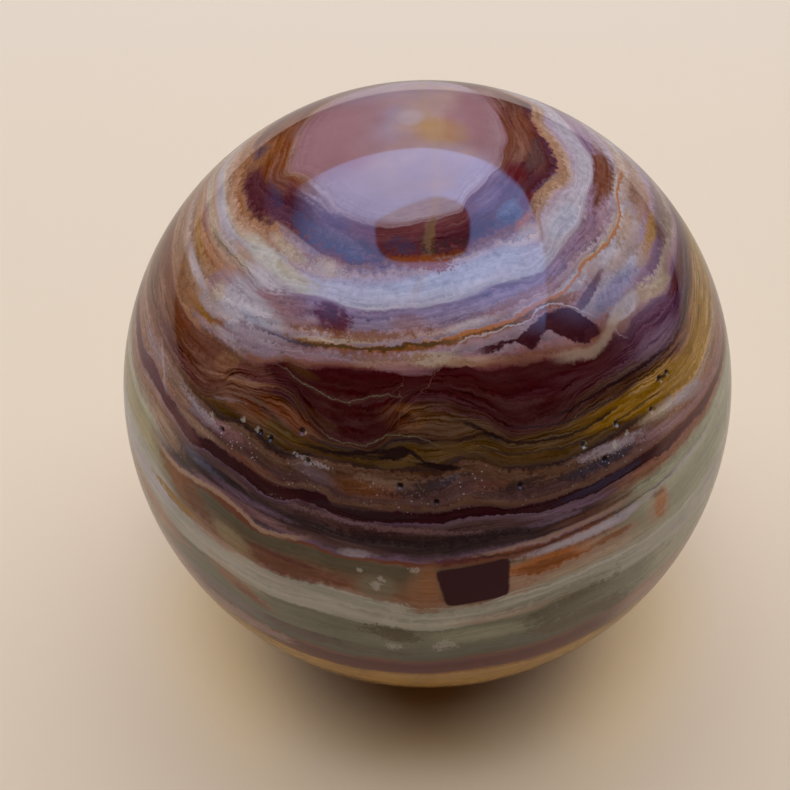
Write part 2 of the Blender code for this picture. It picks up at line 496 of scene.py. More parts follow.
MIDDLE_FRONT = [
    (39.4, "olive", 1.6), (39.7, "rust"), (40.2, "rose"), (40.9, "lilac", 0.9),
    (41.7, "orchid", 0.85), (42.3, "brown", 1.1), (42.7, "maroon"), (43, "oxblood", 1.2),
    (46.3, "oxblood"), (47, "wine", 0.75), (48, "umber", 0.85), (49, "wine", 0.75),
    (50, "umber", 0.8), (51.5, "umber"), (52.5, "umber"), (53.1, "slate"), (53.9, "olive", 0.9),
    (54.9, "bronze", 0.85), (56.2, "olive", 0.9), (57.2, "slate"), (57.6, "umber"),
    (57.8, "drab", 0.9), (59.3, "drab", 0.8), (60.6, "taupe", 0.8),
    (62, "taupe", 0.85), (63.2, "drab"), (63.75, "taupe", 0.8), (63.95, "garnet"),
    (65.7, "garnet"),
]
MIDDLE_LEFT = [
    (39.4, "ochre", 0.8), (41, "ochre", 0.9), (42.3, "ochre"), (42.9, "brown", 1.1), (43.3, "russet"),
    (44.5, "russet", 0.85), (46.4, "brown", 0.9), (47, "brown"), (52.6, "brown"), (55, "brown", 1.15),
    (57, "ochre", 0.8), (57.6, "ochre", 0.85), (58.3, "rose"), (59, "ochre"), (60.2, "tan", 0.8),
    (61.5, "brown", 1.4), (62.6, "ochre", 0.9), (63.7, "orchid", 0.9), (63.9, "maroon"),
    (64.3, "crimson", 0.85), (65.4, "crimson", 0.75), (65.7, "brown"),
]
MIDDLE_RIGHT = [
    (39.4, "pearl", 0.9), (40.3, "pearl", 0.8), (41.2, "violet", 1.3), (41.9, "violet"),
    (42.35, "cream", 0.85), (42.85, "rose"), (43.2, "dusk"), (44.5, "plum", 1.2), (46.4, "plum"),
    (48, "taupe"), (49.3, "taupe", 0.7), (50.2, "drab", 0.85), (50.8, "brown"),
    (51.7, "brown", 0.8), (52.6, "brown"), (53, "ochre", 0.8), (53.8, "bronze", 1.8),
    (55.2, "mustard", 0.95), (57.3, "mustard", 1.12), (57.8, "honey"), (58.8, "peach", 0.8),
    (60, "ochre", 0.9), (61.5, "brown", 1.4), (62.8, "orchid", 0.95), (63.7, "brown", 1.4),
    (64, "russet", 0.9), (64.8, "oxblood", 1.6), (65.5, "oxblood", 2), (65.7, "russet"),
]
LOWER_BEDS = (65.7, 112)
LOWER_FRONT = [
    (65.7, "dusk", 0.75), (66.5, "taupe", 0.8), (67.6, "taupe", 0.75), (68.4, "slate", 1.3),
    (70.4, "taupe", 0.4), (71.9, "dusk", 1.0), (72.2, "russet"), (73.1, "brown"), (73.5, "moss"),
    (75, "moss", 0.95), (79.8, "ochre", 0.75), (81.1, "peach", 0.75), (81.4, "milk", 0.95),
    (83, "milk", 0.85), (83.6, "milk", 1.05), (84.3, "milk", 0.8), (85.3, "milk", 1.06),
    (86.6, "milk", 0.92), (86.9, "sage", 0.95), (90, "sage", 0.95), (93, "sage", 0.7),
    (95.4, "sage", 0.55), (96.6, "brown", 0.9), (97.8, "maroon"), (98.6, "chestnut", 0.9),
    (101.3, "chestnut"), (102, "amber"), (103.2, "honey", 1.05), (112, "honey", 1.3),
]
LOWER_LEFT = [
    (65.7, "rose", 0.9), (67, "ochre", 0.85), (69, "peach", 0.68), (70, "cream", 0.85),
    (71.5, "celadon", 1.2), (72.4, "straw", 0.9), (73.5, "straw"), (76, "straw", 1.05),
    (78, "milk", 0.95), (80, "milk", 1.2), (82, "pearl", 1.1), (84.5, "milk", 1.1),
    (86.6, "tan", 1.05), (87.3, "tan"), (88.5, "ochre", 1.2), (90, "tan", 1.1), (92, "straw", 0.9),
    (95, "tan", 1.1), (97, "peach", 1.2), (99.5, "peach", 1.2), (101.5, "honey", 1.3),
    (104, "honey", 1.4), (108, "honey", 1.3), (112, "honey", 1.2),
]
LOWER_RIGHT = [
    (65.7, "russet"), (66.1, "brown", 1.3), (66.8, "brown", 1.5), (67.8, "ochre", 0.8),
    (69, "tan", 0.7), (70.2, "celadon", 0.85), (72.2, "celadon"), (73, "celadon", 1.1),
    (74.5, "celadon"), (77, "celadon", 0.9), (79.3, "celadon"), (81.2, "celadon", 1.05),
    (82.3, "milk", 1.02), (84.5, "milk"), (86.6, "milk", 1.05), (88.5, "celadon", 1.15),
    (91, "celadon", 1.1), (94, "sage", 1.5), (96.5, "tan", 1.0), (98, "peach", 0.95),
    (101.5, "peach", 0.95), (105, "honey", 1.2), (112, "honey", 1.2),
]
BASE_BEDS = (112, 180)
BASE = [
    (112, "honey", 1.25), (113.5, "honey"), (116, "amber"), (119, "honey", 0.9), (122, "amber", 1.2),
    (126, "honey", 0.8), (129, "rust", 1.1), (133, "amber", 1.3), (137, "orange", 0.6),
    (141, "tan", 0.7), (145, "orange", 0.6), (150, "amber"), (156, "amber", 1.2), (163, "honey", 0.6),
    (170, "rust"), (180, "amber"),
]
# Each part of the column: its span, the longitudes over which the left's and the right's colours come in,
# and the three rows of colours.
BED_PARTS = (
    (UPPER_BEDS, (-60, -36), (32, 56), UPPER_FRONT, UPPER_LEFT, UPPER_RIGHT),
    (MIDDLE_BEDS, (-62, -38), (34, 56), MIDDLE_FRONT, MIDDLE_LEFT, MIDDLE_RIGHT),
    (LOWER_BEDS, (-53, -42), (26, 44), LOWER_FRONT, LOWER_LEFT, LOWER_RIGHT),
)

# Soft patches on the cap: colour, place to the right and to the front of the top, half sizes, share, and
# tilt where there is one.
CAP_PATCHES = [
    ("honey", 2.4, 1, 3.8, 4, 0.5), ("pearl", -2.5, -3, 2, 2.4, 0.35),
    ("orchid", -15, -1, 7, 9, 0.6), ("rose", -11, -11, 7, 4, 0.4, 20), ("lilac", -6, -17, 9, 7, 0.6),
    ("orchid", 8, -9, 4, 9, 0.7, 15), ("lilac", -9, 14, 10, 5, 0.7), ("lilac", 2, 9, 8, 4, 0.6),
    ("rose", -6, 4, 5, 3, 0.4), ("brown", 14.5, -7, 2.5, 14, 0.6, -10), ("rust", -26, -7, 3, 9, 0.6, 15),
    ("ochre", -29, -3, 2.5, 5, 0.6, 10), ("navy", -28.5, -4, 1.6, 2.2, 0.6),
    ("russet", 16, -4, 2.5, 6, 0.6),
]
# Soft patches elsewhere: colour, longitude, degrees from the top, half sizes, share and tilt.
SOFT_PATCHES = [
    # The dark ring and its fringe.
    ("rust", -90, 25.5, 13, 3, 0.6), ("wine", -72, 29.3, 14, 1.8, 0.9),
    ("brown", -72, 25, 8, 1.6, 0.6), ("plum", -60, 27.5, 9, 1.5, 0.6),
    ("steel", -30, 26.6, 13, 1.3, 0.5, 3), ("plum", -19, 27.7, 5, 0.8, 0.7, 8),
    ("wine", -52, 24.8, 9, 2, 0.9), ("brown", -60, 21.6, 8, 0.8, 0.7),
    ("plum", -37, 23.8, 8, 1.4, 0.8), ("chestnut", -21, 24.6, 5, 1.8, 0.8, 10),
    ("umber", 0, 24, 3.4, 2, 0.5), ("bronze", 2.4, 23.4, 1.4, 3, 0.5, 8),
    ("steel", 36, 21.6, 7, 1.6, 0.8, -4), ("navy", 30, 22.8, 5, 0.8, 0.4, -4),
    ("oxblood", 21, 22.8, 6, 1.2, 0.6, -8), ("dusk", 30, 18.5, 9, 1.5, 0.5, -6),
    ("brown", 80, 15, 22, 1.8, 0.8), ("chestnut", 54, 17, 9, 2, 0.8, -5),
    ("chestnut", 46, 21.2, 5, 1, 0.8, -7), ("taupe", 78, 17.6, 16, 1.1, 0.7),
    ("rust", -1, 27.6, 9, 0.8, 0.6, 2), ("orange", 38, 23.9, 5, 0.6, 0.5, -6),
    ("peach", 50, 22.2, 6, 0.8, 0.6, -6), ("cream", -45, 30.8, 8, 1.2, 0.7, 2),
    ("peach", -28.5, 31, 2, 1.7, 0.8), ("ochre", -62, 32.4, 14, 0.9, 0.7, -2),
    ("lilac", -44, 29.3, 10, 0.8, 0.7, 2), ("tan", -30, 30, 5, 0.8, 0.5),
    ("peach", 37, 25.8, 4, 1.3, 0.8),
    # The white ring.
    ("white", -46, 33.9, 15, 1.5, 0.7, 3), ("pearl", -44, 36.6, 9, 1.6, 0.8, 3),
    ("cream", -38, 33.6, 9, 0.8, 0.5, 2), ("pearl", -72, 36, 15, 1.3, 0.6),
    ("ice", 8, 30, 26, 1.9, 0.5, -7), ("pearl", 8, 32, 10, 1, 0.5, -6),
    ("pearl", 60, 25.8, 22, 1.6, 0.5, -2), ("ice", 51, 27.2, 8, 1.6, 0.6, -4),
    ("tan", 62, 22, 10, 0.9, 0.6), ("tan", -57, 35.6, 6, 0.6, 0.4),
    # The mauve bed.
    ("orchid", -37, 38.2, 9, 1.3, 0.8, -6), ("dusk", -31, 37.4, 9, 1.5, 0.5, 2),
    ("periwinkle", 2, 35.6, 20, 1.7, 0.35, -6), ("dusk", 14, 33.8, 9, 0.8, 0.5, -4),
    ("rust", -4, 36.6, 5, 1.4, 0.4), ("chestnut", -23.5, 37.2, 4.4, 2, 1.0, 4),
    ("oxblood", -23.5, 37.2, 2.4, 0.9, 0.5), ("plum", 26, 32.3, 9, 0.5, 0.6, 2),
    ("violet", 34, 32.8, 8, 0.7, 0.6), ("plum", 8, 33.4, 10, 0.3, 0.4, -5),
    ("orchid", 62, 31, 10, 1.6, 0.5), ("brown", 86, 30, 21, 1.9, 0.85, 2),
    ("dusk", 58, 30.2, 6, 0.9, 0.6), ("russet", 86, 29.5, 12, 1.6, 0.7),
    ("pearl", -46, 41.8, 11, 3.2, 1.0, 4), ("ice", -41, 42.4, 6, 0.9, 0.5, 4),
    ("rose", -57, 41.4, 4, 1.9, 0.7, -25), ("cream", -55, 42.4, 2.2, 1.6, 0.6),
    ("cream", -20, 40.3, 9, 0.4, 0.6, -8), ("orchid", 26, 34.9, 9, 0.9, 0.6, -4),
    ("pearl", 10, 37, 6, 0.8, 0.6, -6), ("pearl", 41, 35.4, 6, 1, 0.6, -6),
    ("lilac", 20, 39, 7, 0.7, 0.6, -4), ("mustard", -76, 41.4, 13, 0.8, 0.5, 2),
    ("orchid", -80, 39.6, 7, 0.9, 0.4),
    # Between the orange line and the oxblood bed.
    ("pearl", -66, 43.9, 10, 0.8, 0.6, 2), ("bronze", -72, 45.9, 10, 1.2, 0.5),
    ("ochre", -70, 46.2, 12, 1.4, 0.5), ("lilac", -38, 44.6, 9, 2, 0.9, -6),
    ("rose", -28, 43.6, 5, 1, 0.5, -4), ("mustard", -55, 46.7, 7, 0.4, 0.5, 2),
    ("cream", 1, 41.5, 5.5, 1, 0.8), ("tan", -9, 42.5, 6, 0.6, 0.5, -3),
    ("orchid", -5, 43.2, 6, 0.7, 0.6), ("tan", 10, 42.2, 6, 0.8, 0.6, 2),
    ("lilac", -48, 47.9, 10, 0.6, 0.5), ("pearl", -45, 47.1, 5, 0.7, 0.5, 4),
    ("pearl", -52, 45.2, 8, 0.8, 0.5, -3), ("lavender", 52, 39.6, 12, 2.6, 0.8),
    ("periwinkle", 51, 40.2, 8, 1.5, 0.8), ("plum", 43, 37.8, 7, 0.7, 0.8, -10),
    ("dusk", 70, 42.4, 13, 1.1, 0.75, 2), ("pearl", 57, 36, 6, 1, 0.7),
    ("ice", 59, 39, 5, 1, 0.4), ("tan", 66, 40, 5, 1.4, 0.6), ("honey", 76, 40, 9, 1.2, 0.8),
    ("tan", 92, 34.4, 15, 1.5, 0.7, 4), ("ochre", 92, 37.8, 16, 2.6, 0.8, 2),
    ("drab", 88, 43, 13, 2.2, 0.7, 2), ("peach", 66, 37.2, 16, 1.3, 0.5),
    ("tan", 71, 35.3, 9, 1.2, 0.7), ("brown", 20, 43.2, 9, 0.8, 0.5, 4),
    ("pearl", 50, 43, 6.5, 1.2, 0.9, -2), ("cream", 61, 45, 7, 0.9, 0.7, 8),
    # The oxblood bed and the laminated one.
    ("brown", -44, 51.5, 12, 4, 0.7, -6), ("bronze", -28, 45.6, 5, 0.7, 0.35, 8),
    ("maroon", -34, 49.6, 6, 0.9, 0.6), ("amber", -4, 49.8, 5, 1.8, 0.45),
    ("drab", 1.5, 49.6, 6, 1.1, 0.5, 6), ("russet", -26, 53, 6, 1.4, 0.8, 14),
    ("russet", -33, 54, 4, 0.9, 0.6, 8), ("brown", -36, 55, 7, 1, 0.7, 8),
    ("oxblood", -10, 50, 7, 1.9, 0.7, 6), ("umber", -21, 51.8, 5, 0.9, 0.6, 14),
    ("oxblood", 12, 49.6, 8, 1.3, 0.5, 10), ("ochre", -38, 51.3, 9, 0.4, 0.5, -12),
    ("maroon", -60, 54.6, 12, 1.1, 0.6, 4), ("ochre", -72, 52, 8, 2, 0.3),
    ("maroon", 74, 47.8, 10, 1.1, 0.9), ("dusk", 54, 50.8, 8, 1.8, 0.55, 4),
    ("wine", 30, 48.5, 14, 1.4, 0.4), ("mustard", 76, 54, 15, 2.4, 0.7, -5),
    ("honey", 48, 54.6, 7, 1.1, 0.6, 4), ("ochre", -43, 50, 3, 1.4, 0.5, -30),
    # The mustard bed and the crystalline one.
    ("mustard", 42, 56, 16, 1.9, 0.7, 3), ("mustard", 70, 57, 18, 2, 0.6),
    ("olive", 19, 56.4, 10, 2, 0.75, 5), ("honey", 43, 57.2, 7, 0.9, 0.4),
    ("olive", 24, 54.8, 11, 0.9, 0.6, 2), ("olive", 4, 50.6, 6, 1.8, 0.5, 12),
    ("bronze", 47, 56.3, 6, 0.7, 0.25, 6), ("taupe", 1, 60.6, 6, 2.2, 0.6, -10),
    ("umber", -13, 60, 5, 1.4, 0.75, 8), ("brown", 10, 60.2, 3, 0.9, 0.4),
    ("steel", 3, 58.9, 3, 0.5, 0.4, -14), ("slate", 31, 61.6, 9, 1, 0.4),
    ("steel", 31, 61.9, 7, 0.7, 0.35), ("lilac", 34, 60.3, 8, 0.9, 0.6, 4),
    ("lavender", 53, 61.2, 8, 1.2, 0.4, 14), ("cream", 46, 60, 6, 0.8, 0.6, 6),
    ("lilac", -20, 59.8, 4, 1, 0.25, 10), ("rust", -10, 60.8, 6, 1.4, 0.4, 4),
    ("rose", 44, 62.4, 8, 0.8, 0.6, 8), ("orchid", -38, 59.6, 6, 1.2, 0.7),
    ("brown", -32, 62.3, 6, 0.8, 0.7, 4), ("lilac", -45, 59.6, 6, 1, 0.5, 6),
    ("lilac", -64, 58.8, 7, 1.1, 0.5), ("tan", -44, 61.8, 6, 0.8, 0.4),
    ("ochre", -50, 59.6, 2.5, 1, 0.5),
    # The seam and the lavender bed under it.
    ("plum", -62, 61.8, 7, 0.9, 0.4), ("maroon", -47, 63.6, 4.5, 1, 0.7, 8),
    ("navy", 30, 65.1, 8, 0.5, 0.5, -2), ("maroon", 52, 65.9, 10, 0.8, 0.6, 2),
    ("oxblood", -28, 64.3, 12, 1, 0.6, 4), ("steel", -41, 66.6, 5, 0.8, 0.6, 4),
    ("slate", -30, 67.2, 9, 0.5, 0.7, 6), ("dusk", -31, 68.2, 8, 0.6, 0.6, 4),
    ("orchid", -30, 69.9, 12, 0.8, 0.6, 4), ("slate", 8, 69.8, 9, 1, 0.5),
    ("taupe", -14, 70.5, 9, 0.8, 0.9, 3), ("oxblood", -8, 67.7, 12, 0.9, 0.5, 2),
    ("ink", 9, 68.3, 6, 0.8, 0.5), ("violet", 21, 68, 5, 0.6, 0.5, 2),
    ("dusk", 24, 66.9, 8, 0.6, 0.7, 2), ("tan", -52, 67.2, 6, 1.6, 0.6, 10),
    ("brown", 28, 69.3, 8, 0.8, 0.5), ("maroon", 5, 71.9, 5, 0.6, 0.8, -4),
    ("pearl", 28, 72.6, 12, 0.9, 0.9, -2), ("peach", 22, 70.6, 14, 0.5, 0.6, -3),
    ("pearl", -11, 71.7, 3, 0.8, 0.5), ("pearl", 48, 71.2, 12, 0.5, 0.6, -1),
    # The green bed and its stains.
    ("rust", -45, 73.4, 7, 2, 0.95, 16), ("brown", -21, 77.4, 10, 1.9, 0.85, 1),
    ("maroon", -24, 75.9, 6, 0.5, 0.5, 2), ("mustard", -47, 77.8, 7, 0.8, 0.9, 2),
    ("umber", -41, 74.6, 4, 1.6, 0.5, 15), ("peach", -35, 79.4, 6, 0.7, 0.8, 4),
    ("straw", -33, 77, 4, 1.8, 0.5, 20), ("ochre", -0.6, 77.3, 2.6, 4.4, 0.7),
    ("orange", -0.2, 76.4, 1.4, 2.6, 0.25), ("peach", 14.5, 77, 2.5, 3.4, 0.7),
    ("sage", -7.5, 77.5, 3.5, 2.5, 0.6), ("peach", 24, 76.2, 13, 2.6, 0.8),
    ("orange", 19, 75.2, 8.5, 1.5, 0.9, -3), ("rust", 18.4, 75.6, 5.5, 1, 0.9, -4),
    ("tan", 28, 74.8, 4, 0.7, 0.6, -3), ("rust", 30.5, 75.2, 3.5, 0.6, 0.7, -2),
    ("cream", 27, 78.2, 10, 1, 0.8, -3), ("peach", 41.4, 75.4, 3, 3.4, 0.7),
    ("orange", 41.8, 75, 1.6, 2.6, 0.7), ("milk", 26, 79.6, 13, 0.7, 0.7, -2),
    ("umber", 41, 72.6, 1.4, 0.5, 0.5),
    # The striped bed and the grey-green one.
    ("cream", -30, 81.2, 10, 0.7, 0.4), ("white", -28, 82.8, 20, 2.2, 0.55, 2),
    ("sage", 22, 83.4, 9, 1.8, 0.5, -3), ("ochre", -32, 87.4, 7, 1.4, 0.9, 20),
    ("brown", -30, 88.6, 4, 1, 0.7, 22), ("cream", -33, 84.6, 7, 0.9, 0.6, 18),
    ("peach", -50, 86.6, 10, 0.8, 0.4), ("moss", -5, 88.4, 3.4, 1.9, 0.9, 10),
    ("sage", -15, 90, 12, 3, 0.5), ("celadon", 9, 88.6, 8, 2, 0.6), ("moss", 26, 91.6, 9.5, 2.8, 1.0),
    ("moss", 24, 86.6, 8, 2.4, 0.9, -4), ("sage", 33, 87, 12, 2.2, 0.5, -4),
    ("moss", -18, 93.6, 13, 1.5, 0.7, 2), ("lilac", -40, 92.4, 14, 2, 0.3, 6),
    ("taupe", -22, 93.4, 7, 1.5, 0.5), ("tan", 12, 84.6, 9, 0.9, 0.4, -4),
    ("pink", -40, 98.6, 15, 2.6, 0.8), ("pink", 42, 98.6, 8, 2.6, 0.6),
]
# Lenses with sharper edges, listed in the same way.
SHARP_PATCHES = [
    ("dusk", -33, 25.2, 8, 0.4, 0.5, 3), ("lilac", -39, 54.8, 4, 0.25, 0.4, -14),
    ("slate", -10, 64.4, 9, 0.7, 0.5, 2), ("slate", 49.5, 55.6, 2.4, 0.35, 0.8, 4),
    ("ink", -13, 56.1, 5.5, 0.4, 0.75, -4), ("ink", -5.6, 55.1, 3, 0.75, 0.95, -6),
    ("ink", 2, 56.8, 4, 0.4, 0.8, 8), ("bronze", -5.8, 56.7, 3, 0.5, 0.6, -6),
    ("olive", 5, 54.7, 4, 0.5, 0.7, 16), ("bronze", 3.5, 53.6, 3, 0.5, 0.5, 4),
    ("ink", 8, 51.2, 1.6, 0.4, 0.6, 20),
]
# Patches that break up into grains, listed in the same way.
GRAINS = [
    ("navy", -44, 26.9, 9, 1.1, 0.7, 5), ("navy", -28, 27.6, 7, 0.7, 0.6, 4),
    ("wine", -33, 25.9, 9, 1.3, 0.45, 4), ("slate", 33, 22.4, 6, 0.8, 0.5, -4),
    ("slate", -19, 26.4, 4, 1, 0.6, 14), ("navy", -8, 25, 5, 1.1, 0.5, 4),
    ("slate", 7, 24.6, 7, 0.9, 0.6, -4), ("flame", -1, 27.4, 9, 1, 0.85, 2),
    ("navy", -66, 26.4, 7, 0.9, 0.5), ("rust", -16, 39, 12, 0.7, 0.7, -5),
    ("rust", 22, 34.8, 11, 0.7, 0.5, -5), ("rust", -8, 41.6, 10, 0.5, 0.6, -3),
    ("orange", 39, 23.8, 5, 0.4, 0.25, -6), ("cream", -30, 31, 6, 1, 0.5),
    ("slate", 0, 59.7, 5.5, 0.9, 0.75, -14), ("slate", 15.5, 61, 3.4, 0.8, 0.7),
    ("slate", 31, 61.9, 8, 0.8, 0.6), ("pearl", 33, 60.4, 6, 0.8, 0.35, 4),
    ("pearl", -45, 59, 6, 0.6, 0.4, 8), ("pearl", -20, 58.4, 3, 0.4, 0.5, 6),
    ("umber", -34, 60.8, 7, 1, 0.4), ("tan", -8, 59.6, 5, 0.7, 0.2, 6),
    ("pearl", 53, 60.8, 6, 0.7, 0.35, 8), ("umber", -48, 57, 8, 0.4, 0.6, 4),
    ("olive", -44, 48.4, 7, 0.5, 0.5), ("orchid", -8, 66.6, 15, 0.5, 0.35, 3),
    ("ink", -2, 68.4, 13, 0.9, 0.6), ("moss", -6, 88, 4, 1.6, 0.8, 10),
]
# Thin lines along the beds: colour, half width, share and the places that they pass.
LINES = [
    ("orange", 0.3, 0.9, [
        (3, 39), (8, 38.3), (15, 37.7), (20, 37.3), (25, 36.7), (30, 36.3), (35, 36), (40, 35.1),
        (45, 34.3), (50, 34), (60, 34), (70, 33.9), (75, 33.3), (80, 32.4), (86, 32.8), (95, 34.4)]),
    ("olive", 0.3, 0.9, [
        (-30, 42.5), (-27, 42.2), (-24, 41.9), (-20, 41), (-15, 40.8), (-10, 40.4), (-5, 39.8), (0, 39.5),
        (5, 39.2)]),
    ("navy", 0.2, 0.6, [(-38, 42.7), (-33, 42.5), (-28, 42.3), (-25, 42.3)]),
    ("cream", 1.0, 0.45, [(28, 44.6), (32, 45.2), (36, 45.9), (40, 45.2), (44, 43.8), (48, 43)]),
    ("pearl", 0.14, 0.8, [
        (6, 40), (8, 39.1), (12, 38.8), (16, 38.5), (19, 38), (22, 38.2), (25, 38), (27, 37.3), (30, 37),
        (34, 37.6), (37, 39), (39, 40.4)]),
    ("umber", 0.14, 0.5, [(-72, 38.4), (-66, 37.6), (-60, 37.2), (-56, 37.2), (-52, 36.9), (-48, 37.4)]),
    ("ink", 0.3, 0.8, [
        (6, 50.4), (8, 51), (10, 52), (13, 53.4), (16, 54.6), (19, 55.2), (24, 55.6), (30, 55.5),
        (36, 55)]),
    ("ink", 0.28, 0.75, [(24, 52.3), (30, 51.9), (36, 51.6), (42, 51.5), (48, 51.9), (54, 52.6)]),
    ("slate", 0.2, 0.8, [
        (15, 52.2), (20, 53.2), (26, 53.6), (34, 53.6), (42, 53.2), (50, 53.8), (60, 54.2)]),
    ("slate", 0.2, 0.7, [
        (8, 53.4), (12, 55.3), (16, 56.4), (22, 57), (30, 57.2), (40, 56.8), (48, 57.2)]),
    ("olive", 0.22, 0.8, [(9, 54.8), (13, 56.8), (18, 58), (24, 58.4), (32, 58.2)]),
    ("ink", 0.36, 0.9, [
        (-22, 56.1), (-14, 56), (-9, 54.9), (-5, 54.2), (-2.4, 54.9), (0, 56.2), (6, 57)]),
    ("umber", 0.24, 0.8, [
        (-42, 56.2), (-38, 56), (-34, 56.2), (-30, 56.1), (-27, 56.4), (-24, 57), (-20, 57.1),
        (-15, 57.3)]),
    ("umber", 0.3, 0.6, [(-31, 46.5), (-24.6, 47.6), (-19, 48.7), (-16, 48.9), (-10, 47.4), (-6, 47)]),
    ("umber", 0.3, 0.6, [(-20, 53.2), (-14.5, 54.7), (-9, 53.4), (-6.5, 52.3), (-2, 52.4), (1, 53.4)]),
    ("sage", 0.07, 0.5, [
        (-31, 46.5), (-28, 46.9), (-24.6, 47.6), (-21.5, 48.1), (-19, 48.7), (-16, 48.9), (-13.5, 48.3),
        (-10, 47.4), (-6, 47)]),
    ("sage", 0.07, 0.5, [
        (-20, 53.2), (-17, 54.3), (-14.5, 54.7), (-11.5, 54.5), (-9, 53.4), (-6.5, 52.3), (-2, 52.4),
        (1, 53.4)]),
    ("tan", 0.55, 0.85, [
        (-54, 70.4), (-47, 71.2), (-43, 70.4), (-39, 69.9), (-35, 70), (-31, 70.9), (-27, 72.2),
        (-23, 71.8), (-20, 71.2)]),
    ("russet", 0.22, 0.7, [(-24, 72.1), (-18, 72), (-10, 72.5), (-2, 72.5), (2, 72.2)]),
    ("slate", 0.26, 0.5, [
        (6, 70.4), (9, 71.6), (12, 72.1), (17, 72), (24, 71.4), (31, 70.9), (38, 71.2), (46, 71)]),
    ("white", 0.3, 0.7, [(10, 81), (18, 80.4), (26, 79.9), (32, 79.9), (40, 80.6), (52, 80.2)]),
    ("ochre", 0.2, 0.5, [(-4, 81.6), (2, 81.7), (8, 81.3), (13, 80.3), (18, 79.7)]),
]
# A pale vein over the cap, by how far in front of the top it is and how far to the right.
CAP_VEINS = [
    ("tan", 0.8, 0.22, [
        (-22, -1), (-9.4, -0.6), (1.2, 0.4), (12.1, 1.4), (18, 1.2), (21.4, 0.4), (27, -0.3), (33, -2)]),
    ("bronze", 0.6, 0.5, [(20, 0.9), (21.4, 0.4), (24, 0.1), (27, -0.3)]),
]
# Cracks that cross the beds: colour, half width, share and the places that they pass.
CRACKS = [
    ("pearl", 0.7, 0.4, [(56.3, -62.5), (57.5, -60.5), (58.6, -59), (60, -57), (61.4, -55.4)]),
    ("brown", 0.12, 0.6, [(40, 6.6), (41.5, 4), (43, 2.3), (44.6, 0.8), (46.4, -1), (48.4, -5)]),
    ("cream", 0.1, 0.5, [(37.5, 8), (40, 6.6), (41.5, 4), (43, 2.3)]),
    ("pearl", 0.14, 0.3, [(40.6, -48.2), (42, -47.2), (43.8, -46.2), (46, -44.6), (48, -42.2)]),
    ("ochre", 0.12, 0.15, [(34, -4.4), (38, -4.9), (42, -4.6), (46, -5.4), (51, -5)]),
    ("lilac", 0.2, 0.6, [(44, 43), (45.4, 43.8), (46.8, 45)]),
]
# The broken dark bed on the right: its top and its foot, by longitude.
BROKEN_TOP = [
    (8, 41.5), (10, 41), (15, 40.2), (19, 39.9), (23, 39.3), (26, 38.6), (31, 38.1), (34.6, 38.2),
    (36.5, 39.2), (38, 40.8), (39.6, 42.4), (41, 44),
]
BROKEN_FOOT = [
    (8, 41.5), (12, 41.6), (15, 41.2), (19.5, 40.4), (21, 41.3), (23, 42.1), (25, 41.3), (28, 40.3),
    (29, 41), (31, 42.3), (33, 43.4), (36, 44.4), (39, 44.2), (41, 43.9),
]
# White spots, by longitude, depth and size: frosty ones in the green beds and the crystalline bed, and
# painted glints where they sit on the pits.
FROST_AND_PIT_GLINTS = [
    (-2.3, 73.7, 0.5), (-7.8, 77.3, 0.7), (-6.8, 75.8, 0.4), (-4.5, 81.6, 1.1), (-6, 84.6, 0.8),
    (2.5, 91, 1.4), (-5.3, 91.6, 1), (-10.5, 74.6, 0.4), (31.5, 79.9, 0.6), (-2.6, 84.4, 0.5),
    (-34.6, 56.3, 0.35), (-31, 56.7, 0.4), (-28.4, 57.1, 0.3), (-22.7, 54.4, 0.35), (-20.5, 58.6, 0.5),
    (-42, 58.6, 0.5), (35.5, 57.3, 0.5), (27.8, 58, 0.5), (34, 60.2, 0.5), (37.5, 59.6, 0.4),
]

HALF_TURN = 180
# A curve has three quarters of its width for the front, where the contacts wind the most.
FRONT_SPAN = 100
FRONT_SHARE = 0.75

# The noises: how fine each is, how many finer ones it adds and how strong those are.
NOISES = {"wave": (9, 3, 0.5), "grain": (42, 3, 0.6), "fold": (2.2, 1, 0.5), "grit": (70, 3, 0.65)}
# Those that also change from bed to bed, and how fast.
BED_NOISES = {"drift": (1.6, 2, 0.5, 0.1), "sheets": (5, 3, 0.65, 0.3), "threads": (9, 1, 0.6, 0.4)}
FINEST = (150, 2, 0.6)
FINEST_SHARE = 6
# How much of each noise moves a place, in degrees, or breaks up an edge.
BEND = {"wave": 1.4, "grain": 0.7}
ACROSS = {"wave": 3, "grain": 1.5}
DOWN = {"wave": 0.8, "grain": 0.6}
CAP_CLOUDS = {"wave": 2.4}
CLOUDS = {"wave": 1.6, "sheets": 2, "grain": 2, "grit": 1.6}
SHARP_CLOUDS = 0.7
GRAINY = {"grain": 4, "grit": 5}
PIT_RAGGED = {"grain": 2}
VEIN_SHAKE = {"grain": 1.5}
LINE_SHAKE = {"grit": 0.9}
CRACK_SHAKE = {"grain": 2.5, "grit": 2}
BROKEN_SHAKE = {"grit": 1.6}
BLOCK_SHAKE = ({"grain": 0.5}, {"grain": 0.3})
FOLD_BEHIND = 16
RAGGED_CONTACT = 2.2
SIDE_DRIFT = 26
# The longitudes over which the back begins and ends, and where its folds come in.
BACK_LEFT = (-168, -130)
BACK_RIGHT = (130, 168)
FOLDED_FROM = (100, 140)

# The parts of a thin line's half width between which it fades.
LINE_EDGE = (0.4, 1.3)
# The span that each kind of line may cover, and how far past its ends it fades out.
VEIN_SPAN, VEIN_FADE = (-40, 40), 1.5
LINE_SPAN, LINE_FADE = (-90, 100), 3
CRACK_SPAN, CRACK_FADE = (15, 70), 0.8
# How soft the edges of the patches are.
CAP_EDGE, SOFT_EDGE, SHARP_EDGE, GRAIN_EDGE, FROST_AND_GLINT_EDGE, PIT_EDGE = 0.9, 0.7, 0.35, 0.6, 1.2, 0.5
# The painted shade inside the pits: colour, size and share.
PIT_SHADE = ("ink", 0.5, 0.9)
FROST_AND_GLINT_LOOK = ("white", 1.1, 0.5)

